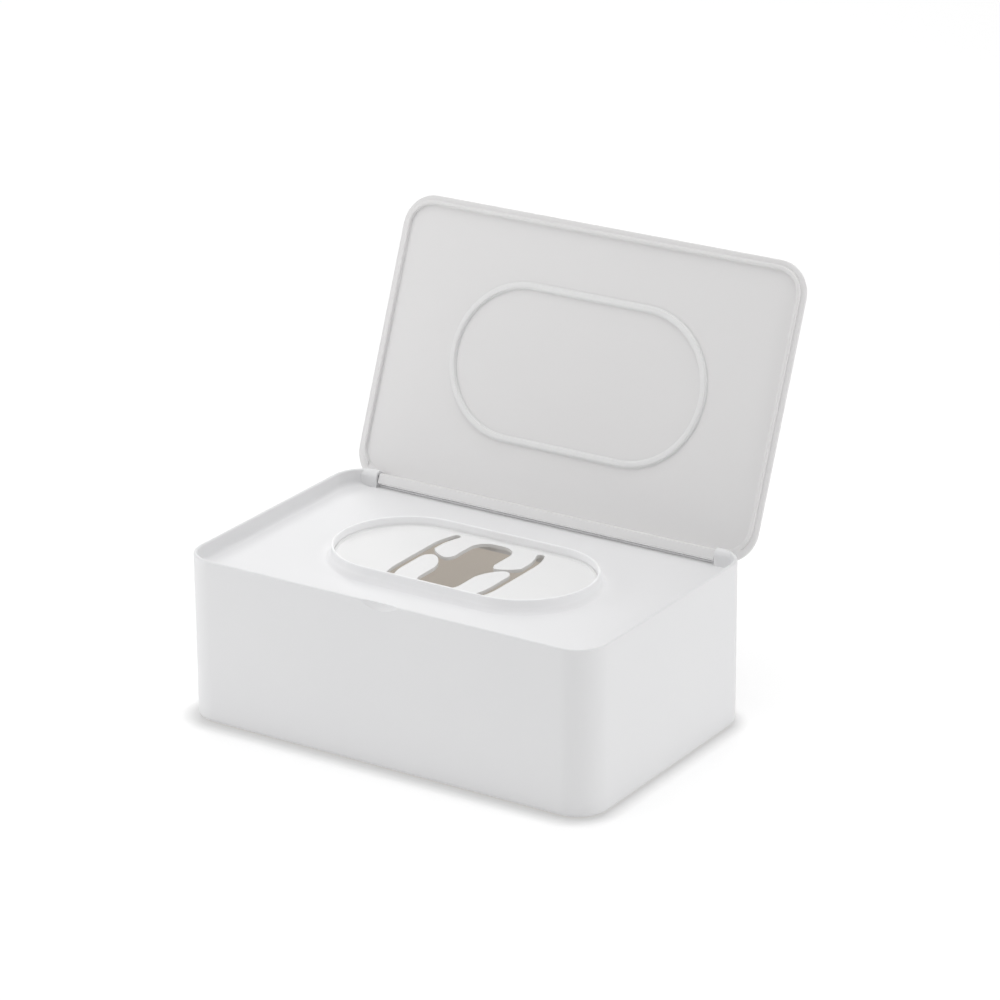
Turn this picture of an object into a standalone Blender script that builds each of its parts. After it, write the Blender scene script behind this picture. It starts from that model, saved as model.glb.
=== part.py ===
"""Wet wipes box with a hinged lid, modelled as separate pieces at real size.

Metres, +Z up. X runs along the hinge, -Y is the front, and the origin is the
centre of the flat underside. The lid is modelled shut and then turned back on
its hinge axis to the open position.
"""
import math

import bmesh
import bpy
from mathutils import Matrix

# Body shell: walls, rim, deck and collar in one moulding
BODY_WIDTH = 0.190
BODY_DEPTH = 0.1198
BODY_HEIGHT = 0.0700
SHELL_LIFT = 0.0005
CORNER_RADIUS = 0.0135
RIM_WALL = 0.0016
SIDE_WALL = 0.0018
BASE_ROUND = 0.0020
DECK_DROP = 0.0067
DECK_THICKNESS = 0.0020
DECK_FILLET = 0.0018

# Lip under the walls, which holds the base cover
LIP_RING = 0.0035
LIP_DEPTH = 0.0055
LIP_HEIGHT = 0.0034
REBATE_HEIGHT = 0.0019

# Finger scoop in the middle of the front rim
SCOOP_ROUND = 0.0164
SCOOP_BULGE = 0.0029
SCOOP_SETBACK = 0.0007
SCOOP_CENTRE_RISE = 0.0129

# Oval collar round the dispensing opening
COLLAR_STRAIGHT = 0.0277
COLLAR_RADIUS = 0.0300
COLLAR_WALL = 0.0011
COLLAR_HEIGHT = 0.0056
COLLAR_COVE = 0.0027
LEDGE_WIDTH = 0.0023

# Flexible insert in the collar
INSERT_THICKNESS = 0.0014
INSERT_EDGE = 0.00025
INSERT_COVE = 0.0008
SLOT_HALF_WIDTH = 0.0094
SLOT_END_LAND = 0.0048
SLOT_CORNER = 0.0075
SLIT_PLACE = 0.0223
SLIT_HALF_WIDTH = 0.0017
SLIT_STRAIGHT = 0.0130
SLIT_BEND = 0.0280
SLIT_END_LAND = 0.0057
# Ends of the tongues at a neck: shares of the way from slot to slit, and of the slot's half length
REAR_TONGUE_SHARES = ((1.0, 0.369), (0.857, 0.294), (0.652, 0.226), (0.429, 0.171),
                      (0.214, 0.147), (0.089, 0.183), (0.0, 0.270))
FRONT_TONGUE_SHARES = ((0.0, -0.298), (0.0625, -0.198), (0.161, -0.087), (0.304, 0.012),
                       (0.455, 0.087), (0.634, 0.135), (0.786, 0.133), (0.9375, 0.071),
                       (1.0, -0.024))

# Hinge: the lid's bar turns on two pins between the rear corner posts
HINGE_INSET = 0.00145
HINGE_DROP = 0.00255
BAR_END_INSET = 0.0148
BAR_END_GAP = 0.0006
BAR_LEAD = 0.00147
BAR_BACK_INSET = 0.00015
BAR_DROP = 0.00115
BAR_BULGE = 0.00015
BAR_TOP_ROUND = 0.0004
BAR_EDGE_ROUND = 0.0005
PIN_RADIUS = 0.0006
PIN_LENGTH = 0.0056
PIN_END_BEVEL = 0.0002
PIN_CLEARANCE = 0.0002
KNUCKLE_RADIUS = 0.0025
KNUCKLE_LENGTH = 0.0036
KNUCKLE_SINK = 0.0001
SADDLE_DROP = 0.0065
SADDLE_WALL = 0.0010
GROOVE_WIDTH = 0.00055
GROOVE_DEPTH = 0.0013
LID_OPEN_DEGREES = 111.8

# Lid
LID_OVERHANG = 0.00035
LID_GAP = 0.0003
LID_THICKNESS = 0.0035
LID_SKIN = 0.0020
LID_EDGE_ROUND = 0.0032
LID_EDGE_BREAK = 0.0006
LID_REAR_REACH = 0.0012
RIB_MARGIN = 0.00225
RIB_WIDTH = 0.00155
RIB_HEIGHT = 0.0015
RIB_TIP_ROUND = 0.0006
RIB_FOOT_FILLET = 0.0006
RIB_END_INSET = 0.0060
RIB_RAMP_LENGTH = 0.0070
RIB_RAMP_END = 0.0020

# Seal ring in the lid, which slips round the collar
SEAL_STRAIGHT = 0.0274
SEAL_CLEARANCE = 0.0008
SEAL_WIDTH = 0.0015
SEAL_HEIGHT = 0.0040
SEAL_FOOT = 0.0004
SEAL_FOOT_FILLET = 0.0007
SEAL_TONGUE_WIDTH = 0.0009
SEAL_GROOVE_DEPTH = 0.0008

# Base cover with its skirt and feet
COVER_FLANGE = 0.0016
COVER_PLATE = 0.0022
SKIRT_WALL = 0.0015
SKIRT_HEIGHT = 0.0074
SKIRT_ROUND = 0.0005
GRIP_RADIUS = 0.0080
GRIP_DEPTH = 0.0009
GRIP_RING_LEFT = 0.0025
FOOT_RADIUS = 0.0070
FOOT_THICKNESS = 0.0011
FOOT_RECESS = 0.0014
FOOT_EDGE_BEVEL = 0.0002
FOOT_INSET = 0.0220

# Fits and the length by which cutters and joined forms run past a surface
GAP = 0.0003
OVERRUN = 0.0010
SINK = 0.00005

# Faces along round forms
CORNER_STEPS = 10
OVAL_STEPS = 18
ROUND_STEPS = 5
TURN_STEPS = 32

HALF_X = BODY_WIDTH / 2
HALF_Y = BODY_DEPTH / 2
SLOT_HALF_LENGTH = COLLAR_RADIUS - SLOT_END_LAND
SLIT_REACH = COLLAR_RADIUS - SLIT_END_LAND
DECK_TOP = BODY_HEIGHT - DECK_DROP
DECK_UNDERSIDE = DECK_TOP - DECK_THICKNESS
COLLAR_TOP = DECK_TOP + COLLAR_HEIGHT
HINGE_Y = HALF_Y - HINGE_INSET
HINGE_Z = BODY_HEIGHT - HINGE_DROP
SADDLE_TOP = BODY_HEIGHT - SADDLE_DROP
BAR_HALF_LENGTH = HALF_X - BAR_END_INSET
POST_FACE = BAR_HALF_LENGTH + BAR_END_GAP
RIB_RELIEF_END = HALF_X - RIB_END_INSET
LID_FACE = BODY_HEIGHT + LID_GAP
LID_TOP = LID_FACE + LID_THICKNESS
PANEL_FACE = LID_TOP - LID_SKIN


def clear_scene():
    for item in list(bpy.data.objects):
        bpy.data.objects.remove(item, do_unlink=True)


def plastic(name, colour, roughness):
    """A moulded plastic or rubber finish."""
    material = bpy.data.materials.new(name)
    material.use_nodes = True
    shader = material.node_tree.nodes["Principled BSDF"]
    shader.inputs["Base Color"].default_value = (*colour, 1.0)
    shader.inputs["Roughness"].default_value = roughness
    shader.inputs["Metallic"].default_value = 0.0
    return material


def steel(name):
    material = plastic(name, (0.62, 0.63, 0.65), 0.28)
    material.node_tree.nodes["Principled BSDF"].inputs["Metallic"].default_value = 1.0
    return material


def arc(centre, radius, start, end, steps):
    """Points on an arc in a plane, with angles in degrees."""
    points = []
    for step in range(steps + 1):
        angle = math.radians(start + (end - start) * step / steps)
        points.append((centre[0] + radius * math.cos(angle), centre[1] + radius * math.sin(angle)))
    return points


def rounded_outline(half_x, half_y, radius, steps):
    """A rectangle with round corners, anticlockwise; an oval where radius equals half_y."""
    points = []
    for quarter, (side_x, side_y) in enumerate(((1, 1), (-1, 1), (-1, -1), (1, -1))):
        centre = (side_x * (half_x - radius), side_y * (half_y - radius))
        points += arc(centre, radius, quarter * 90, quarter * 90 + 90, steps)
    return points


def new_object(name, bm):
    bmesh.ops.remove_doubles(bm, verts=bm.verts, dist=1e-7)
    bmesh.ops.recalc_face_normals(bm, faces=bm.faces)
    mesh = bpy.data.meshes.new(name)
    bm.to_mesh(mesh)
    bm.free()
    item = bpy.data.objects.new(name, mesh)
    bpy.context.scene.collection.objects.link(item)
    return item


def loft(name, half_x, half_y, radius, profile, steps, capped=True):
    """Carry a profile of (inset, height) points round an outline with round corners.

    A capped form is closed by its first and last outline; otherwise the profile
    closes on itself and the form is a ring.
    """
    bm = bmesh.new()
    rings = []
    for inset, height in profile:
        outline = rounded_outline(half_x - inset, half_y - inset, radius - inset, steps)
        rings.append([bm.verts.new((x, y, height)) for x, y in outline])
    pairs = list(zip(rings, rings[1:]))
    if not capped:
        pairs.append((rings[-1], rings[0]))
    for low, high in pairs:
        for place in range(len(low)):
            after = (place + 1) % len(low)
            bm.faces.new((low[place], low[after], high[after], high[place]))
    if capped:
        bm.faces.new(rings[0])
        bm.faces.new(rings[-1])
    return new_object(name, bm)


def prism(name, outline, low, high):
    """Extrude a flat outline from one height to another."""
    bm = bmesh.new()
    face = bm.faces.new([bm.verts.new((x, y, low)) for x, y in outline])
    grown = bmesh.ops.extrude_face_region(bm, geom=[face])["geom"]
    raised = [part for part in grown if isinstance(part, bmesh.types.BMVert)]
    bmesh.ops.translate(bm, verts=raised, vec=(0, 0, high - low))
    return new_object(name, bm)


def block(name, low, high):
    bm = bmesh.new()
    bmesh.ops.create_cube(bm, size=1.0)
    for vert in bm.verts:
        vert.co = [low[axis] + (vert.co[axis] + 0.5) * (high[axis] - low[axis]) for axis in range(3)]
    return new_object(name, bm)


def rod(name, radius, length, bevel):
    """A round bar along X, centred on its own origin, with eased ends."""
    bm = bmesh.new()
    bmesh.ops.create_cone(bm, cap_ends=True, segments=TURN_STEPS, radius1=radius, radius2=radius,
                          depth=length)
    bmesh.ops.rotate(bm, verts=bm.verts, cent=(0, 0, 0), matrix=Matrix.Rotation(math.pi / 2, 3, "Y"))
    if bevel:
        ends = [edge for edge in bm.edges if len({round(vert.co.x, 6) for vert in edge.verts}) == 1]
        bmesh.ops.bevel(bm, geom=ends, offset=bevel, segments=2, profile=0.5, affect="EDGES")
    return new_object(name, bm)


def combine(target, other, operation):
    """Apply a Boolean with another form, which is then removed."""
    modifier = target.modifiers.new(operation.title(), "BOOLEAN")
    modifier.operation = operation
    modifier.solver = "EXACT"
    modifier.object = other
    bpy.context.view_layer.update()
    evaluated = target.evaluated_get(bpy.context.evaluated_depsgraph_get())
    mesh = bpy.data.meshes.new_from_object(evaluated)
    target.modifiers.remove(modifier)
    old_mesh = target.data
    target.data = mesh
    bpy.data.meshes.remove(old_mesh)
    bpy.data.objects.remove(other, do_unlink=True)


def cut(target, cutter):
    combine(target, cutter, "DIFFERENCE")


def fuse(target, other):
    combine(target, other, "UNION")


def shift(item, x, y, z):
    """Move a form by moving its mesh, so its origin stays where it was."""
    for vert in item.data.vertices:
        vert.co.x += x
        vert.co.y += y
        vert.co.z += z


def finish(item, material, sharp_degrees=32):
    item.data.name = item.name
    item.data.materials.clear()
    item.data.materials.append(material)
    item.data.shade_smooth()
    item.data.set_sharp_from_angle(angle=math.radians(sharp_degrees))


def oval(name, radius, low, high):
    """An upright oval form on the collar's two centres."""
    outline = rounded_outline(COLLAR_STRAIGHT + radius, radius, radius, OVAL_STEPS)
    return prism(name, outline, low, high)


def hinge_empty():
    """The hinge axis, turned back so that what it carries stands open."""
    empty = bpy.data.objects.new("lid_hinge_axis", None)
    bpy.context.scene.collection.objects.link(empty)
    empty.location = (0, HINGE_Y, HINGE_Z)
    empty.rotation_euler = (-math.radians(LID_OPEN_DEGREES), 0, 0)
    return empty


def hang_on_hinge(item, hinge):
    """Place a form that was modelled shut on the hinge axis."""
    shift(item, 0, -HINGE_Y, -HINGE_Z)
    item.parent = hinge


def body_shell():
    """Walls, rim and deck as one profile carried round the box, open underneath."""
    profile = arc((RIM_WALL + DECK_FILLET, DECK_TOP + DECK_FILLET), DECK_FILLET, 270, 180, ROUND_STEPS)
    crest = RIM_WALL / 2
    profile += arc((crest, BODY_HEIGHT - crest), crest, 0, 180, ROUND_STEPS * 2)
    profile += arc((BASE_ROUND, SHELL_LIFT + BASE_ROUND), BASE_ROUND, 180, 270, ROUND_STEPS)
    profile += [(LIP_RING, SHELL_LIFT), (LIP_RING, REBATE_HEIGHT), (LIP_DEPTH, REBATE_HEIGHT),
                (LIP_DEPTH, LIP_HEIGHT), (SIDE_WALL, LIP_HEIGHT), (SIDE_WALL, DECK_UNDERSIDE)]
    shell = loft("body_shell", HALF_X, HALF_Y, CORNER_RADIUS, profile, CORNER_STEPS)
    add_collar(shell)
    add_posts(shell)
    cut_hinge_room(shell)
    cut_scoop(shell)
    for side in (-1, 1):
        cut(shell, grip_cutter(side))
    return shell


def add_collar(shell):
    """An upright oval wall with a coved foot, and the opening inside it."""
    crest = COLLAR_WALL / 2
    root = DECK_TOP - DECK_THICKNESS / 2
    profile = [(COLLAR_WALL, root)]
    profile += arc((crest, COLLAR_TOP - crest), crest, 0, 180, ROUND_STEPS)
    profile += arc((-COLLAR_COVE, DECK_TOP + COLLAR_COVE - SINK), COLLAR_COVE, 0, -90, ROUND_STEPS)
    profile += [(-COLLAR_COVE, root)]
    fuse(shell, loft("collar", COLLAR_STRAIGHT + COLLAR_RADIUS, COLLAR_RADIUS, COLLAR_RADIUS,
                     profile, OVAL_STEPS, capped=False))
    ledge_radius = COLLAR_RADIUS - COLLAR_WALL - LEDGE_WIDTH
    cut(shell, oval("deck_opening", ledge_radius, DECK_UNDERSIDE - OVERRUN, COLLAR_TOP + OVERRUN))


def turn_outline_to_side(form):
    """Lay a form that was extruded up Z along X, so that its outline stands in Y and Z."""
    for vert in form.data.vertices:
        y, z, x = vert.co
        vert.co = (x, y, z)
    return form


def add_posts(shell):
    """Filled rear corners with rounded tops and round knuckles, which hold the hinge pins."""
    root = DECK_TOP - DECK_THICKNESS / 2
    wall = RIM_WALL / 2
    top = HINGE_Z + KNUCKLE_RADIUS
    front = HINGE_Y - KNUCKLE_RADIUS
    corners = rounded_outline(HALF_X - wall, HALF_Y - wall, CORNER_RADIUS - wall, CORNER_STEPS)
    above = arc((HINGE_Y, HINGE_Z), KNUCKLE_RADIUS, 90, 180, TURN_STEPS // 2)
    above += [(front - OVERRUN, HINGE_Z), (front - OVERRUN, top + OVERRUN), (HINGE_Y, top + OVERRUN)]
    for side in (-1, 1):
        near, far = sorted((side * POST_FACE, side * (HALF_X + OVERRUN)))
        post = prism("post", corners, root, top)
        combine(post, block("corner", (near, front, root - OVERRUN), (far, HALF_Y + OVERRUN, top + OVERRUN)),
                "INTERSECT")
        cut(post, turn_outline_to_side(prism("post_front", above, near - OVERRUN, far + OVERRUN)))
        fuse(shell, post)
        knuckle = rod("knuckle", KNUCKLE_RADIUS - KNUCKLE_SINK, KNUCKLE_LENGTH, 0)
        shift(knuckle, side * (POST_FACE + KNUCKLE_LENGTH / 2 + SINK), HINGE_Y, HINGE_Z)
        fuse(shell, knuckle)


def cut_hinge_room(shell):
    """Clear the rear rim and groove the deck between the posts, and round the wall about the hinge."""
    groove_back = HALF_Y - SADDLE_WALL
    groove_front = groove_back - GROOVE_WIDTH
    cut(shell, block("rim_room", (-POST_FACE, HINGE_Y - KNUCKLE_RADIUS * 2, SADDLE_TOP),
                     (POST_FACE, HALF_Y + OVERRUN * 2, BODY_HEIGHT + OVERRUN)))
    cut(shell, block("deck_room", (-POST_FACE, HALF_Y - RIM_WALL - DECK_FILLET - SINK, DECK_TOP),
                     (POST_FACE, groove_back, BODY_HEIGHT)))
    cut(shell, block("groove", (-POST_FACE, groove_front, DECK_TOP - GROOVE_DEPTH),
                     (POST_FACE, groove_back, BODY_HEIGHT)))
    outline = arc((HINGE_Y, HINGE_Z), KNUCKLE_RADIUS, 90, 0, TURN_STEPS // 2)
    far = HALF_Y + OVERRUN * 2
    top = BODY_HEIGHT + OVERRUN
    outline += [(far, HINGE_Z), (far, top), (HINGE_Y, top)]
    cut(shell, turn_outline_to_side(prism("wall_round", outline, -HALF_X - OVERRUN, HALF_X + OVERRUN)))
    for side in (-1, 1):
        socket = rod("socket", PIN_RADIUS + PIN_CLEARANCE, PIN_LENGTH, 0)
        shift(socket, side * (POST_FACE + PIN_CLEARANCE), HINGE_Y, HINGE_Z)
        cut(shell, socket)


def cut_scoop(shell):
    """A shallow thumbnail scoop in the outer face of the front rim."""
    bm = bmesh.new()
    bmesh.ops.create_uvsphere(bm, u_segments=TURN_STEPS * 3, v_segments=TURN_STEPS * 2, radius=1.0)
    for vert in bm.verts:
        x, z, y = vert.co
        vert.co = (x * SCOOP_ROUND, y * SCOOP_BULGE, z * SCOOP_ROUND)
    scoop = new_object("scoop", bm)
    shift(scoop, 0, -HALF_Y - SCOOP_SETBACK, BODY_HEIGHT + SCOOP_CENTRE_RISE)
    cut(shell, scoop)


def grip_cutter(side):
    """A half-round recess across the joint of lip and cover, for a fingertip."""
    place = side * (HALF_X - GRIP_RING_LEFT - GRIP_RADIUS)
    outline = [(place + x, y) for x, y in arc((0, 0), GRIP_RADIUS, 0, 348.75, TURN_STEPS - 1)]
    return prism("grip", outline, -OVERRUN, GRIP_DEPTH)


def slit_outline(side):
    """One long slit, straight in the middle and bending inwards at both ends."""
    bend_x = SLIT_PLACE - SLIT_BEND
    turn = math.degrees(math.asin((SLIT_REACH - SLIT_STRAIGHT) / SLIT_BEND))
    outer = SLIT_BEND + SLIT_HALF_WIDTH
    inner = SLIT_BEND - SLIT_HALF_WIDTH
    tip = (bend_x + SLIT_BEND * math.cos(math.radians(turn)), SLIT_REACH)
    upper = arc((bend_x, SLIT_STRAIGHT), outer, 0, turn, ROUND_STEPS)
    upper += arc(tip, SLIT_HALF_WIDTH, turn, turn + 180, ROUND_STEPS * 2)[1:-1]
    upper += arc((bend_x, SLIT_STRAIGHT), inner, turn, 0, ROUND_STEPS)
    lower = [(x, -y) for x, y in reversed(upper)]
    return [(side * x, y) for x, y in upper + lower]


def eased(points):
    """Carry a smooth curve through a row of places."""
    line = []
    row = [points[0]] + points + [points[-1]]
    for place in range(1, len(row) - 2):
        before, start, end, after = row[place - 1:place + 3]
        for step in range(ROUND_STEPS - 1):
            t = step / (ROUND_STEPS - 1)
            line.append(tuple(0.5 * (2 * b + (c - a) * t + (2 * a - 5 * b + 4 * c - d) * t ** 2
                                     + (3 * b - a - 3 * c + d) * t ** 3)
                              for a, b, c, d in zip(before, start, end, after)))
    line.append(points[-1])
    return line


def neck_outline(side):
    """The curved way from the middle slot to a slit, between the ends of two tongues."""
    inner = SLOT_HALF_WIDTH
    outer = SLIT_PLACE - SLIT_HALF_WIDTH
    edges = []
    for shares in (REAR_TONGUE_SHARES, FRONT_TONGUE_SHARES):
        edge = eased([(inner + (outer - inner) * x, SLOT_HALF_LENGTH * y) for x, y in shares])
        ends = [(edge[0][0], edge[0][1]), (edge[-1][0], edge[-1][1])]
        ends = [(x + OVERRUN if x > SLIT_PLACE / 2 + inner / 2 else x - OVERRUN, y) for x, y in ends]
        edges += [ends[0]] + edge + [ends[1]]
    return [(side * x, y) for x, y in edges]


def dispensing_insert():
    """A thin flexible plate whose slot, slits and necks leave four tongues."""
    radius = COLLAR_RADIUS - COLLAR_WALL - GAP
    low = DECK_TOP + GAP
    top = low + INSERT_THICKNESS
    edge_top = top + INSERT_COVE
    profile = [(0, low), (0, edge_top)]
    profile += arc((INSERT_EDGE + INSERT_COVE, edge_top), INSERT_COVE, 180, 270, ROUND_STEPS)
    insert = loft("dispensing_insert", COLLAR_STRAIGHT + radius, radius, radius, profile, OVAL_STEPS)
    slot = rounded_outline(SLOT_HALF_WIDTH, SLOT_HALF_LENGTH, SLOT_CORNER, ROUND_STEPS * 2)
    outlines = [slot]
    for side in (-1, 1):
        outlines += [slit_outline(side), neck_outline(side)]
    for outline in outlines:
        cut(insert, prism("opening", outline, low - OVERRUN, top + OVERRUN))
    return insert


def lid(hinge):
    """Flat lid with rounded edges, a raised rib that enters the rim and a sunken panel inside it."""
    profile = arc((LID_EDGE_BREAK, LID_FACE + LID_EDGE_BREAK), LID_EDGE_BREAK, 270, 180, ROUND_STEPS)
    profile += arc((LID_EDGE_ROUND, LID_TOP - LID_EDGE_ROUND), LID_EDGE_ROUND, 180, 90,
                   ROUND_STEPS * 2)[1:]
    half_x = HALF_X + LID_OVERHANG
    half_y = HALF_Y + LID_OVERHANG
    radius = CORNER_RADIUS + LID_OVERHANG
    cover = loft("lid", half_x, half_y + LID_REAR_REACH / 2, radius, profile, CORNER_STEPS)
    shift(cover, 0, LID_REAR_REACH / 2, 0)
    tip = LID_FACE - RIB_HEIGHT
    rib_inner = RIB_MARGIN + RIB_WIDTH
    rib = arc((RIB_MARGIN + RIB_TIP_ROUND, tip + RIB_TIP_ROUND), RIB_TIP_ROUND, 270, 180, ROUND_STEPS)
    rib += [(RIB_MARGIN, LID_FACE + OVERRUN), (rib_inner + GAP, LID_FACE + OVERRUN), (rib_inner + GAP, tip)]
    fuse(cover, loft("rib", half_x, half_y, radius, rib, CORNER_STEPS, capped=False))
    edge = rib_inner - RIB_TIP_ROUND
    recess = [(edge, tip - OVERRUN)]
    recess += arc((edge, tip + RIB_TIP_ROUND), RIB_TIP_ROUND, -90, 0, ROUND_STEPS)
    recess += arc((rib_inner + RIB_FOOT_FILLET, PANEL_FACE - RIB_FOOT_FILLET), RIB_FOOT_FILLET,
                  180, 90, ROUND_STEPS)
    cut(cover, loft("recess", half_x, half_y, radius, recess, CORNER_STEPS))
    cut_rib_ends(cover)
    add_hinge_bar(cover)
    cut_seal_groove(cover)
    hang_on_hinge(cover, hinge)
    return cover


def cut_rib_ends(cover):
    """Stop the rib beside the posts, and ramp its ends so that it swings clear of the rim."""
    tip = LID_FACE - RIB_HEIGHT
    face = LID_FACE + SINK
    ramp_back = HALF_Y - RIB_RAMP_END
    ramp_front = ramp_back - RIB_RAMP_LENGTH
    back = HALF_Y + LID_OVERHANG + OVERRUN
    outline = [(ramp_front, tip - SINK), (ramp_back, face), (back, face), (back, tip - OVERRUN),
               (ramp_front, tip - OVERRUN)]
    front = HALF_Y - CORNER_RADIUS
    cut(cover, block("rib_relief", (-RIB_RELIEF_END, front, tip - OVERRUN), (RIB_RELIEF_END, back, face)))
    for side in (-1, 1):
        near, far = sorted((side * (RIB_RELIEF_END - OVERRUN), side * (HALF_X + OVERRUN)))
        cut(cover, turn_outline_to_side(prism("rib_ramp", outline, near, far)))


def add_hinge_bar(cover):
    """The flat-faced bar along the lid's rear edge, with a bore in each end for a pin."""
    front = HINGE_Y - BAR_LEAD
    back = HALF_Y + LID_OVERHANG + LID_REAR_REACH - BAR_BACK_INSET
    low = HINGE_Z - BAR_DROP
    shoulder = LID_FACE + LID_EDGE_BREAK
    top = PANEL_FACE + SINK
    panel_edge = HALF_Y - CORNER_RADIUS
    cut(cover, block("panel_reach", (-BAR_HALF_LENGTH, panel_edge, LID_FACE - OVERRUN),
                     (BAR_HALF_LENGTH, front + SINK, PANEL_FACE)))
    outline = [(HINGE_Y, top), (front, top)]
    outline += arc((front + BAR_TOP_ROUND, low + BAR_TOP_ROUND), BAR_TOP_ROUND, 180, 270, ROUND_STEPS)
    outline += [((front + back) / 2, low - BAR_BULGE)]
    outline += arc((back - BAR_EDGE_ROUND, low + BAR_EDGE_ROUND), BAR_EDGE_ROUND, 270, 360, ROUND_STEPS)
    outline += [(back, shoulder), (HINGE_Y, shoulder)]
    bar = turn_outline_to_side(prism("hinge_bar", outline, -BAR_HALF_LENGTH, BAR_HALF_LENGTH))
    fuse(cover, bar)
    for side in (-1, 1):
        bore = rod("bore", PIN_RADIUS + PIN_CLEARANCE, PIN_LENGTH, 0)
        shift(bore, side * (BAR_HALF_LENGTH - PIN_CLEARANCE), HINGE_Y, HINGE_Z)
        cut(cover, bore)


def seal_inner_radius():
    return COLLAR_RADIUS + SEAL_CLEARANCE


def cut_seal_groove(cover):
    """An oval groove in the lid's inner face, which grips the seal ring's tongue."""
    width = SEAL_TONGUE_WIDTH + GAP * 2
    outer = seal_inner_radius() + SEAL_WIDTH / 2 + width / 2
    profile = [(0, PANEL_FACE - OVERRUN), (width, PANEL_FACE - OVERRUN),
               (width, PANEL_FACE + SEAL_GROOVE_DEPTH), (0, PANEL_FACE + SEAL_GROOVE_DEPTH)]
    cut(cover, loft("groove", SEAL_STRAIGHT + outer, outer, outer, profile, OVAL_STEPS, capped=False))


def lid_seal_ring(hinge):
    """A soft oval ring with a spread foot, pressed into the lid by its tongue."""
    outer = seal_inner_radius() + SEAL_WIDTH
    side_step = (SEAL_WIDTH - SEAL_TONGUE_WIDTH) / 2
    foot = PANEL_FACE - GAP
    tongue_top = PANEL_FACE + SEAL_GROOVE_DEPTH - GAP
    tip = PANEL_FACE - SEAL_HEIGHT
    crest = SEAL_WIDTH / 2
    cove_z = foot - SEAL_FOOT_FILLET
    spread = SEAL_FOOT_FILLET
    profile = [(side_step, tongue_top), (side_step, foot), (-SEAL_FOOT, foot)]
    profile += [(-spread + spread * math.cos(math.radians(angle)),
                 cove_z + spread * math.sin(math.radians(angle))) for angle in (55, 35, 15)]
    profile += arc((crest, tip + crest), crest, 180, 360, ROUND_STEPS * 2)
    profile += [(SEAL_WIDTH - x, z) for x, z in reversed(profile[:6])]
    ring = loft("lid_seal_ring", SEAL_STRAIGHT + outer, outer, outer, profile, OVAL_STEPS,
                capped=False)
    hang_on_hinge(ring, hinge)
    return ring


def hinge_pin(side, hinge):
    """A short steel pin, half in the lid's hinge bar and half in the post."""
    name = "hinge_pin_left" if side < 0 else "hinge_pin_right"
    pin = rod(name, PIN_RADIUS, PIN_LENGTH, PIN_END_BEVEL)
    shift(pin, side * (BAR_HALF_LENGTH + BAR_END_GAP / 2), HINGE_Y, HINGE_Z)
    hang_on_hinge(pin, hinge)
    return pin


def foot_places():
    return {"foot_front_left": (-1, -1), "foot_front_right": (1, -1),
            "foot_rear_left": (-1, 1), "foot_rear_right": (1, 1)}


def foot_centre(side_x, side_y):
    return side_x * (HALF_X - FOOT_INSET), side_y * (HALF_Y - FOOT_INSET)


def base_cover():
    """A push-in cover: a flange in the shell's rebate and a skirt inside its lip."""
    flange = LIP_RING + GAP
    skirt = LIP_DEPTH + GAP
    inner = skirt + SKIRT_WALL
    profile = [(inner, COVER_PLATE)]
    profile += arc((inner - SKIRT_ROUND, SKIRT_HEIGHT - SKIRT_ROUND), SKIRT_ROUND, 0, 90, ROUND_STEPS)
    profile += arc((skirt + SKIRT_ROUND, SKIRT_HEIGHT - SKIRT_ROUND), SKIRT_ROUND, 90, 180, ROUND_STEPS)
    profile += [(skirt, COVER_FLANGE), (flange, COVER_FLANGE), (flange, 0)]
    cover = loft("base_cover", HALF_X, HALF_Y, CORNER_RADIUS, profile, CORNER_STEPS)
    for side_x, side_y in foot_places().values():
        x, y = foot_centre(side_x, side_y)
        outline = arc((x, y), FOOT_RADIUS + GAP, 0, 348.75, TURN_STEPS - 1)
        cut(cover, prism("foot_recess", outline, -OVERRUN, FOOT_RECESS))
    for side in (-1, 1):
        cut(cover, grip_cutter(side))
    return cover


def foot(name, side_x, side_y):
    """A round non-slip pad, flush with the underside of the cover."""
    bm = bmesh.new()
    bmesh.ops.create_cone(bm, cap_ends=True, segments=TURN_STEPS, radius1=FOOT_RADIUS,
                          radius2=FOOT_RADIUS, depth=FOOT_THICKNESS)
    rims = [edge for edge in bm.edges if len({round(vert.co.z, 6) for vert in edge.verts}) == 1]
    bmesh.ops.bevel(bm, geom=rims, offset=FOOT_EDGE_BEVEL, segments=2, profile=0.5, affect="EDGES")
    pad = new_object(name, bm)
    x, y = foot_centre(side_x, side_y)
    pad.location = (x, y, FOOT_THICKNESS / 2)
    return pad


def main():
    clear_scene()
    shell_white = plastic("shell_plastic", (0.83, 0.83, 0.84), 0.42)
    lid_white = plastic("lid_plastic", (0.80, 0.79, 0.79), 0.45)
    soft_white = plastic("insert_soft_plastic", (0.82, 0.82, 0.82), 0.5)
    seal_white = plastic("seal_silicone", (0.80, 0.80, 0.80), 0.55)
    cover_white = plastic("cover_plastic", (0.78, 0.78, 0.78), 0.5)
    pad_grey = plastic("foot_rubber", (0.55, 0.55, 0.56), 0.75)
    hinge = hinge_empty()
    finish(body_shell(), shell_white)
    finish(dispensing_insert(), soft_white)
    finish(base_cover(), cover_white)
    for name, (side_x, side_y) in foot_places().items():
        finish(foot(name, side_x, side_y), pad_grey)
    finish(lid(hinge), lid_white)
    finish(lid_seal_ring(hinge), seal_white)
    for side in (-1, 1):
        finish(hinge_pin(side, hinge), steel("pin_steel"))


main()
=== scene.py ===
from math import cos, hypot, radians, sin

import bpy
from mathutils import Matrix, Vector


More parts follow.
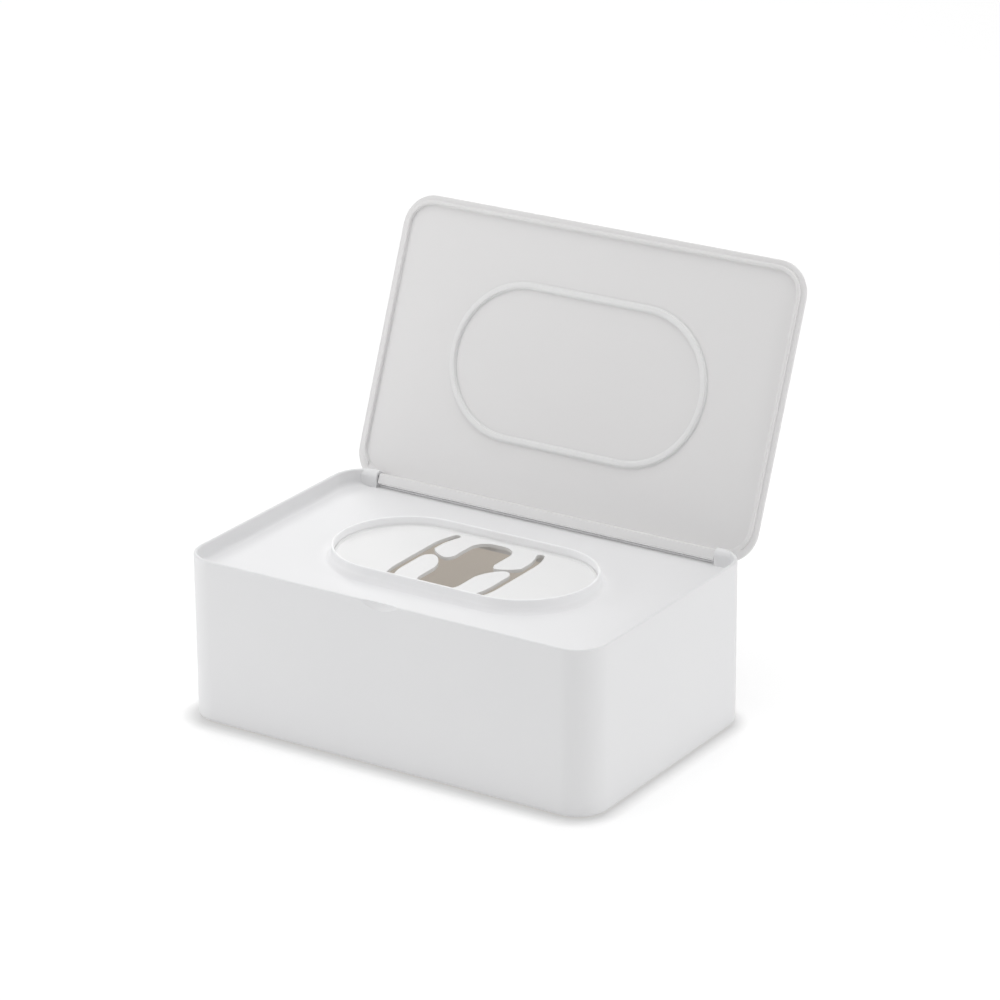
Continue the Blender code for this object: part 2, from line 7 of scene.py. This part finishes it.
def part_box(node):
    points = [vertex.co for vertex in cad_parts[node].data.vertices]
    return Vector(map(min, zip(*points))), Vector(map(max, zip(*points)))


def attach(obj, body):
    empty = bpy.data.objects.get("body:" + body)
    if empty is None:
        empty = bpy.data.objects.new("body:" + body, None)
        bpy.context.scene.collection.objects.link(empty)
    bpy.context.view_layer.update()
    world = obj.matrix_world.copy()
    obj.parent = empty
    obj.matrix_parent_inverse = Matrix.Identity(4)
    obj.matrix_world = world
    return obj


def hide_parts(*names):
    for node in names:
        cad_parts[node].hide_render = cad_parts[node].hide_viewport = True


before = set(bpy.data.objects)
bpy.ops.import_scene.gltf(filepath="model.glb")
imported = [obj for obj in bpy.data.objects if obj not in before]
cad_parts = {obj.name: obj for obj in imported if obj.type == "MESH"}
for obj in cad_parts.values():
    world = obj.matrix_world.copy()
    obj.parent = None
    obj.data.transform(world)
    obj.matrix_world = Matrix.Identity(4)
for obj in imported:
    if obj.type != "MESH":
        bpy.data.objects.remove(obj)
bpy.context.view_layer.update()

# Camera: it stands well back in front of the box, to its right and above
# it, with a long lens, as for a catalogue picture.
camera_place = Vector((0.87742, -1.32246, 0.70742))
camera_target = Vector((0.01673, 0.0, 0.09628))
camera_roll = radians(-0.40)
camera_lens_mm = 156.4
sensor_mm = 36.0
nearest = 0.01
farthest = 20.0

bpy.ops.object.camera_add(location=camera_place)
camera = bpy.context.object
camera.name = "catalogue_camera"
camera.data.lens = camera_lens_mm
camera.data.sensor_width = sensor_mm
camera.data.clip_start = nearest
camera.data.clip_end = farthest
forward = (camera_target - camera_place).normalized()
level_right = forward.cross(Vector((0, 0, 1))).normalized()
level_up = level_right.cross(forward)
right = level_right * cos(camera_roll) + level_up * sin(camera_roll)
up = level_up * cos(camera_roll) - level_right * sin(camera_roll)
camera_turn = Matrix((right, up, -forward)).transposed().to_4x4()
camera.matrix_world = Matrix.Translation(camera_place) @ camera_turn
bpy.context.scene.camera = camera
bpy.context.scene.view_settings.view_transform = "Standard"

# Floor: a wide sheet of white studio paper, lit from behind so evenly
# that it turns plain white in the picture. Its glow is dimmed in a band
# right beside the box: a painted contact shadow.
floor_size = 6.0
floor_colour = (0.50, 0.50, 0.50)
floor_roughness = 0.9
floor_glow = 0.567
painted_shadow_share = 0.50
painted_shadow_reach = 0.0068
painted_shadow_lean = (-0.0008, -0.0012, 0)
footprint_half_width = 0.0950
footprint_half_depth = 0.0599
footprint_corner = 0.0135


class Wire:
    """A socket of a finish. Sums and products of wires add their Math nodes."""

    def __init__(self, tree, socket=None):
        self.tree = tree
        self.socket = socket

    def put(self, kind, settings, sockets, out=0):
        """Add a node: its settings first, then a value or a wire on each of its sockets."""
        node = self.tree.nodes.new(kind)
        for name, value in settings.items():
            setattr(node, name, value)
        for name, value in sockets.items():
            if isinstance(value, Wire):
                self.tree.links.new(value.socket, node.inputs[name])
            else:
                node.inputs[name].default_value = value
        return Wire(self.tree, node.outputs[out])

    def maths(self, operation, first, second):
        return self.put("ShaderNodeMath", {"operation": operation}, {0: first, 1: second})

    def __add__(self, other):
        return self.maths("ADD", self, other)

    def __radd__(self, other):
        return self.maths("ADD", other, self)

    def __sub__(self, other):
        return self.maths("SUBTRACT", self, other)

    def __rsub__(self, other):
        return self.maths("SUBTRACT", other, self)

    def __mul__(self, other):
        return self.maths("MULTIPLY", self, other)

    def __rmul__(self, other):
        return self.maths("MULTIPLY", other, self)

    def below(self, limit):
        return self.maths("LESS_THAN", self, limit)

    def above(self, limit):
        return self.maths("GREATER_THAN", self, limit)

    def place(self):
        """Where a point lies on the object, in metres."""
        return self.put("ShaderNodeTexCoord", {}, {}, "Object")

    def height(self):
        """How far a point lies above the table, in metres."""
        return self.put("ShaderNodeSeparateXYZ", {}, {"Vector": self.place()}, "Z")

    def vector(self, operation, first, second=None, out=0):
        """Vector maths on one or two wires."""
        sockets = {0: first} if second is None else {0: first, 1: second}
        return self.put("ShaderNodeVectorMath", {"operation": operation}, sockets, out)

    def clouds(self, size, detail):
        """Soft noise from 0 to 1, whose blots are about this size."""
        return self.put("ShaderNodeTexNoise", {},
                        {"Vector": self.place(), "Scale": 1 / size, "Detail": detail})

    def swing(self, width):
        """Noise moved to lie about 0, and made this wide."""
        return (self - 0.5) * width

    def streaks(self, size, squeeze, detail):
        """The same noise, drawn out along an axis whose squeeze is below 1."""
        drawn = self.put("ShaderNodeMapping", {}, {"Vector": self.place(), "Scale": squeeze})
        return self.put("ShaderNodeTexNoise", {},
                        {"Vector": drawn, "Scale": 1 / size, "Detail": detail})

    def between(self, share, first, second):
        """A colour that goes from the first to the second with the share."""
        return self.put("ShaderNodeMix", {"data_type": "RGBA"}, {0: share, 6: first, 7: second}, 2)

    def bumps(self, strength, depth, height):
        """The slant of a skin that is this deep where the height is 1."""
        return self.put("ShaderNodeBump", {},
                        {"Strength": strength, "Distance": depth, "Height": height})

    def feed(self, shader, name):
        """Join this wire to one of the shader's sockets."""
        self.tree.links.new(self.socket, shader.inputs[name])


bpy.ops.mesh.primitive_plane_add(size=floor_size, location=(0, 0, 0))
floor = bpy.context.object
floor.name = "paper_floor"
paper = bpy.data.materials.new("studio_paper")
paper.use_nodes = True
paper_shader = paper.node_tree.nodes["Principled BSDF"]
paper_shader.inputs["Base Color"].default_value = (*floor_colour, 1)
paper_shader.inputs["Roughness"].default_value = floor_roughness
paper_shader.inputs["Emission Strength"].default_value = floor_glow
paper_wire = Wire(paper.node_tree)
# Painted contact shadow: the paper's glow is dimmed close to the box's footprint.
off_centre = paper_wire.vector("SUBTRACT", paper_wire.place(), painted_shadow_lean)
one_quarter = paper_wire.vector("ABSOLUTE", off_centre)
footprint_core = (footprint_half_width - footprint_corner,
                  footprint_half_depth - footprint_corner, 0)
past_core = paper_wire.vector("SUBTRACT", one_quarter, footprint_core)
outside_core = paper_wire.vector("MAXIMUM", past_core, (0, 0, 0))
from_box = paper_wire.vector("LENGTH", outside_core, out="Value") - footprint_corner
clear = paper_wire.put("ShaderNodeMapRange", {},
                       {"Value": from_box, "From Min": 0.0, "From Max": painted_shadow_reach})
dim = 1 - painted_shadow_share
paper_wire.between(clear, (dim, dim, dim, 1), (1, 1, 1, 1)).feed(paper_shader, "Emission Color")
floor.data.materials.append(paper)

# Light: a white room, two large soft boxes overhead and one behind on the
# left, and three small weak ones near the box that brighten its sides.
room_light = 0.293

world = bpy.data.worlds.new("white_room")
world.use_nodes = True
world.node_tree.nodes["Background"].inputs["Color"].default_value = (1, 1, 1, 1)
world.node_tree.nodes["Background"].inputs["Strength"].default_value = room_light
bpy.context.scene.world = world


def soft_box(name, place, size, watts):
    """A square lamp that faces the box."""
    bpy.ops.object.light_add(type="AREA", location=place)
    lamp = bpy.context.object
    lamp.name = name
    lamp.data.shape = "SQUARE"
    lamp.data.size = size
    lamp.data.energy = watts
    lamp.rotation_euler = (-Vector(place)).to_track_quat("-Z", "Y").to_euler()


soft_box("top_soft_box", (0.0, -0.2, 2.2), 1.5, 18.1)
soft_box("far_top_soft_box", (0.0, 0.9, 2.2), 1.2, 4.9)
soft_box("far_left_soft_box", (-1.2, 1.5, 1.6), 1.2, 11.2)
soft_box("near_left_soft_box", (-0.7, -0.8, 0.4), 0.5, 1.6)
soft_box("left_soft_box", (-0.9, -0.3, 0.5), 0.6, 1.3)
soft_box("right_soft_box", (0.9, 0.15, 0.4), 0.5, 1.87)

# Shell: the walls, the rim, the sunken deck and the oval collar in one
# injection moulding of white polypropylene, from a finely eroded mould that
# leaves a satin skin. The base cover is pushed into it from below.
shell_white = (0.86, 0.86, 0.865)
shell_shade = (0.835, 0.835, 0.845)
shell_roughness = 0.38
shell_flow_size = 0.055
shell_grain_size = 0.0006
shell_grain_depth = 0.000004
flow_detail = 2
flow_gloss = 0.10
grain_detail = 3
grain_gloss = 0.12
grain_strength = 0.6
merge_distance = 0.000002
flat_angle = radians(0.4)
corner_angle = radians(32)
flat_face_weight = 100


def finish(name, roughness, metallic=0.0):
    """A new material with its shader, whose other sockets are filled later."""
    material = bpy.data.materials.new(name)
    material.use_nodes = True
    shader = material.node_tree.nodes["Principled BSDF"]
    shader.inputs["Roughness"].default_value = roughness
    shader.inputs["Metallic"].default_value = metallic
    return material, shader, Wire(material.node_tree)


def moulded_plastic(name, light, shade, roughness, flow_size, grain_size, grain_depth):
    """Satin plastic: faint flow clouds in its colour, the mould's grain in its gloss and skin."""
    material, shader, wire = finish(name, roughness)
    flow = wire.clouds(flow_size, flow_detail)
    grain = wire.clouds(grain_size, grain_detail)
    wire.between(flow, (*shade, 1), (*light, 1)).feed(shader, "Base Color")
    (roughness + flow.swing(flow_gloss) + grain.swing(grain_gloss)).feed(shader, "Roughness")
    wire.bumps(grain_strength, grain_depth, grain).feed(shader, "Normal")
    return material


def moulded_copy(node, body, material):
    """The node's own form, with its facets merged and its rounds shaded smooth."""
    bpy.ops.object.select_all(action="DESELECT")
    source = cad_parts[node]
    source.select_set(True)
    bpy.context.view_layer.objects.active = source
    bpy.ops.object.duplicate()
    piece = bpy.context.object
    piece.name = node + "_moulding"
    bpy.ops.object.mode_set(mode="EDIT")
    bpy.ops.mesh.select_all(action="SELECT")
    bpy.ops.mesh.remove_doubles(threshold=merge_distance)
    bpy.ops.mesh.dissolve_limited(angle_limit=flat_angle)
    bpy.ops.mesh.faces_shade_smooth()
    bpy.ops.mesh.mark_sharp(clear=True)
    bpy.ops.mesh.select_all(action="DESELECT")
    bpy.ops.mesh.select_mode(type="EDGE")
    bpy.ops.mesh.edges_select_sharp(sharpness=corner_angle)
    bpy.ops.mesh.mark_sharp()
    bpy.ops.object.mode_set(mode="OBJECT")
    evened = piece.modifiers.new("evened_normals", "WEIGHTED_NORMAL")
    evened.keep_sharp = True
    evened.weight = flat_face_weight
    bpy.ops.object.modifier_apply(modifier=evened.name)
    piece.data.materials.clear()
    piece.data.materials.append(material)
    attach(piece, body)
    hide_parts(node)
    return piece


shell_plastic = moulded_plastic("satin_shell_white", shell_white, shell_shade, shell_roughness,
                                shell_flow_size, shell_grain_size, shell_grain_depth)
shell = moulded_copy("body_shell", "shell", shell_plastic)

# Painted light on the shell: its inside, the groove in front of the hinge
# bar and the collar's upper edge are faces of the same moulding that get a
# faint glow, painted light that lifts their shade. The inside also gets a
# warmer, darker colour, painted shade.
painted_shade_inside_white = (0.83, 0.80, 0.765)
painted_shade_inside_grey = (0.80, 0.765, 0.73)
inside_roughness = 0.55
inside_painted_glow = 0.14
inside_painted_glow_colour = (1.0, 0.95, 0.88)
inside_top = 0.0614
inside_facing = 0.3
ceiling_facing = -0.9
edge_painted_glow_colour = (1, 1, 1)
seam_painted_glow = 0.10
seam_bottom = 0.0615
seam_top = 0.0632
seam_front = 0.0580
seam_back = 0.0592
seam_half_width = 0.0812
collar_painted_glow = 0.11
collar_foot = 0.0634
collar_painted_glow_top = 0.0652
collar_end = 0.0610
collar_side = 0.0340
inside_painted_light_slot = 1
seam_painted_light_slot = 2
collar_painted_light_slot = 3


def painted_glow_place(name, light, shade, glow_colour, glow):
    """Give the shell one more finish that glows: painted light for shaded faces."""
    plastic = moulded_plastic(name, light, shade, inside_roughness,
                              shell_flow_size, shell_grain_size, shell_grain_depth)
    shader = plastic.node_tree.nodes["Principled BSDF"]
    shader.inputs["Emission Color"].default_value = (*glow_colour, 1)
    shader.inputs["Emission Strength"].default_value = glow
    shell.data.materials.append(plastic)
    return shader, Wire(plastic.node_tree)


painted_glow_place("painted_light_inside_white", painted_shade_inside_white, painted_shade_inside_grey, inside_painted_glow_colour, inside_painted_glow)
painted_glow_place("painted_light_seam_white", shell_white, shell_shade, edge_painted_glow_colour, seam_painted_glow)
collar_shader, collar_wire = painted_glow_place("painted_light_collar_white", shell_white, shell_shade,
                                        edge_painted_glow_colour, collar_painted_glow)
# The collar's painted glow fades in up its height, from none at its foot.
up_collar = collar_wire.put("ShaderNodeMapRange", {},
                            {"Value": collar_wire.height(), "From Min": collar_foot,
                             "From Max": collar_painted_glow_top})
collar_painted_light = collar_wire.between(up_collar, (0, 0, 0, 1), (*edge_painted_glow_colour, 1))
collar_painted_light.feed(collar_shader, "Emission Color")
shell_low, shell_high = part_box("body_shell")
middle = (Vector(shell_low) + Vector(shell_high)) / 2
# Shaded faces inside, in the groove and up the collar take the painted-light finishes.
for face in shell.data.polygons:
    x, y, z = face.center
    inward = Vector((middle.x - x, middle.y - y, 0)).normalized()
    looks_inward = face.normal.dot(inward) > inside_facing or face.normal.z < ceiling_facing
    if z < inside_top and looks_inward:
        face.material_index = inside_painted_light_slot
    elif seam_bottom < z < seam_top and seam_front < y < seam_back and abs(x) < seam_half_width:
        face.material_index = seam_painted_light_slot
    elif z > collar_foot and abs(x) < collar_end and abs(y) < collar_side:
        face.material_index = collar_painted_light_slot

# Dispensing insert: a soft elastomer plate pressed into the collar. Its
# slot, slits and tongues are moulded in, and the tongues hold the next
# wipe by bending.
insert_white = (0.87, 0.87, 0.868)
insert_shade = (0.845, 0.845, 0.845)
insert_roughness = 0.48
insert_flow_size = 0.020
insert_grain_size = 0.0005
insert_grain_depth = 0.000005

insert_elastomer = moulded_plastic("soft_insert_white", insert_white, insert_shade,
                                   insert_roughness, insert_flow_size, insert_grain_size,
                                   insert_grain_depth)
moulded_copy("dispensing_insert", "shell", insert_elastomer)

# Lid: a second polypropylene moulding with a rib that enters the rim, a
# sunken panel and the hinge bar. It turns on two steel pins. The copy's
# panel and rib are brought to the shallow step that the photograph shows.
lid_white = (0.835, 0.828, 0.827)
lid_shade = (0.815, 0.807, 0.806)
lid_roughness = 0.36
lid_flow_size = 0.070
lid_grain_size = 0.0006
lid_grain_depth = 0.000004
hinge_place = Vector((0, 0.05845, 0.06745))
lid_angle = radians(111.8)
panel_normal = Vector((0, -sin(lid_angle), -cos(lid_angle)))
lid_forward = Vector((0, -cos(lid_angle), sin(lid_angle)))
panel_depth = 0.00435
panel_fillet = 0.00065
panel_raise = 0.00125
fillet_squash = 0.7
bar_front = 0.0016
rib_foot = 0.0015
rib_squash = 0.27
panel_half_width = 0.0920
panel_middle = 0.0584
panel_half_depth = 0.0572
panel_corner = 0.0105

lid_plastic = moulded_plastic("satin_lid_white", lid_white, lid_shade, lid_roughness,
                              lid_flow_size, lid_grain_size, lid_grain_depth)
lid_cover = moulded_copy("lid", "lid", lid_plastic)
for corner in lid_cover.data.vertices:
    from_hinge = corner.co - hinge_place
    rise = from_hinge.dot(panel_normal) + panel_depth
    forth = from_hinge.dot(lid_forward)
    past_x = max(abs(corner.co.x) - panel_half_width + panel_corner, 0)
    past_y = max(abs(forth - panel_middle) - panel_half_depth + panel_corner, 0)
    if hypot(past_x, past_y) < panel_corner and -merge_distance < rise < panel_fillet:
        corner.co += panel_normal * (panel_raise - rise * fillet_squash)
    elif forth > bar_front and rise > rib_foot:
        corner.co -= panel_normal * (rise - rib_foot) * rib_squash

# Seal ring: soft white silicone, pressed into a groove of the lid's panel.
# It meets the collar when the lid is shut and keeps the wipes wet. The
# copy is as low and broad as the ring in the photograph.
seal_white = (0.87, 0.87, 0.868)
seal_shade = (0.85, 0.85, 0.85)
seal_roughness = 0.42
seal_flow_size = 0.012
seal_grain_size = 0.0004
seal_grain_depth = 0.000003
seal_squash = 0.68
seal_straight = 0.0274
seal_line = 0.03155
seal_middle = 0.05845
seal_widen = 0.45
seal_drop = 0.0005

seal_silicone = moulded_plastic("soft_seal_white", seal_white, seal_shade, seal_roughness,
                                seal_flow_size, seal_grain_size, seal_grain_depth)
seal_ring = moulded_copy("lid_seal_ring", "lid", seal_silicone)
for corner in seal_ring.data.vertices:
    from_hinge = corner.co - hinge_place
    rise = from_hinge.dot(panel_normal) + panel_depth
    past_straight = corner.co.x - max(min(corner.co.x, seal_straight), -seal_straight)
    outward = Vector((past_straight, 0, 0))
    outward += lid_forward * (from_hinge.dot(lid_forward) - seal_middle)
    if rise > -merge_distance:
        broader = outward * (1 - seal_line / outward.length) * seal_widen
        corner.co += panel_normal * (panel_raise - rise * seal_squash)
        corner.co += broader - lid_forward * seal_drop

# Base cover: the same polypropylene in a plainer grade. It closes the box
# from below with a friction fit and carries the feet. A small gate mark
# is left in the middle, where the plastic ran in.
cover_white = (0.835, 0.835, 0.835)
cover_shade = (0.81, 0.81, 0.81)
cover_roughness = 0.45
cover_flow_size = 0.045
cover_flow_gloss = 0.12
cover_grain_size = 0.0007
cover_grain_depth = 0.000008
gate_radius = 0.0030
gate_dimple = 0.00030
scuff_size = 0.008 / 3
scuff_squeeze = (1, 0.12, 1)
scuff_detail = 4
scuff_start = 0.58
scuff_strength = 0.6
scuff_gloss = 0.2
scuff_shade = (0.74, 0.74, 0.735)
resting_height = 0.0002

cover_plastic, cover_shader, cover_wire = finish("plain_cover_white", cover_roughness)
flow = cover_wire.clouds(cover_flow_size, flow_detail)
grain = cover_wire.clouds(cover_grain_size, grain_detail)
on_the_flat = cover_wire.vector("MULTIPLY", cover_wire.place(), (1, 1, 0))
gate = cover_wire.vector("LENGTH", on_the_flat, out="Value").below(gate_radius)
scuffed = (cover_wire.streaks(scuff_size, scuff_squeeze, scuff_detail) - scuff_start).above(0)
scuffs = scuffed * cover_wire.height().below(resting_height) * scuff_strength
plain = cover_wire.between(flow, (*cover_shade, 1), (*cover_white, 1))
cover_wire.between(scuffs, plain, (*scuff_shade, 1)).feed(cover_shader, "Base Color")
worn_roughness = cover_roughness + flow.swing(cover_flow_gloss) + scuffs * scuff_gloss
worn_roughness.feed(cover_shader, "Roughness")
skin = grain * (cover_grain_depth / gate_dimple) - gate
cover_wire.bumps(grain_strength, gate_dimple, skin).feed(cover_shader, "Normal")
moulded_copy("base_cover", "base", cover_plastic)

# Feet: four grey rubber pads pressed flush into round recesses of the base
# cover, so that the box doesn't slide when a wipe is pulled.
rubber_grey = (0.56, 0.56, 0.57)
rubber_shade = (0.47, 0.47, 0.48)
rubber_roughness = 0.78
rubber_grain_size = 0.0009
rubber_grain_detail = 4
rubber_grain_depth = 0.00003
rubber_grain_strength = 0.7
wear_size = rubber_grain_size * 8
wear_detail = 2
wear_share = 0.4
wear_gloss = 0.2

foot_rubber, foot_shader, foot_wire = finish("non_slip_grey", rubber_roughness)
grain = foot_wire.clouds(rubber_grain_size, rubber_grain_detail)
wear = foot_wire.clouds(wear_size, wear_detail)
mottle = grain * (1 - wear_share) + wear * wear_share
foot_wire.between(mottle, (*rubber_shade, 1), (*rubber_grey, 1)).feed(foot_shader, "Base Color")
(rubber_roughness + wear.swing(wear_gloss)).feed(foot_shader, "Roughness")
foot_wire.bumps(rubber_grain_strength, rubber_grain_depth, grain).feed(foot_shader, "Normal")
for end in ("front", "rear"):
    for side in ("left", "right"):
        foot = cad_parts["foot_" + end + "_" + side]
        foot.data.materials.clear()
        foot.data.materials.append(foot_rubber)

# Hinge pins: two short lengths of drawn steel wire, pushed through the
# posts into the ends of the hinge bar.
pin_steel_grey = (0.62, 0.63, 0.65)
pin_shade = (0.50, 0.51, 0.53)
pin_roughness = 0.30
drawing_size = 0.0004
drawing_squeeze = (0.05, 1, 1)
drawing_detail = 3
drawing_gloss = 0.2

pin_steel, pin_shader, pin_wire = finish("drawn_steel", pin_roughness, metallic=1.0)
lines = pin_wire.streaks(drawing_size, drawing_squeeze, drawing_detail)
pin_wire.between(lines, (*pin_shade, 1), (*pin_steel_grey, 1)).feed(pin_shader, "Base Color")
(pin_roughness + lines.swing(drawing_gloss)).feed(pin_shader, "Roughness")
for side in ("left", "right"):
    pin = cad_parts["hinge_pin_" + side]
    pin.data.materials.clear()
    pin.data.materials.append(pin_steel)

bpy.context.view_layer.update()
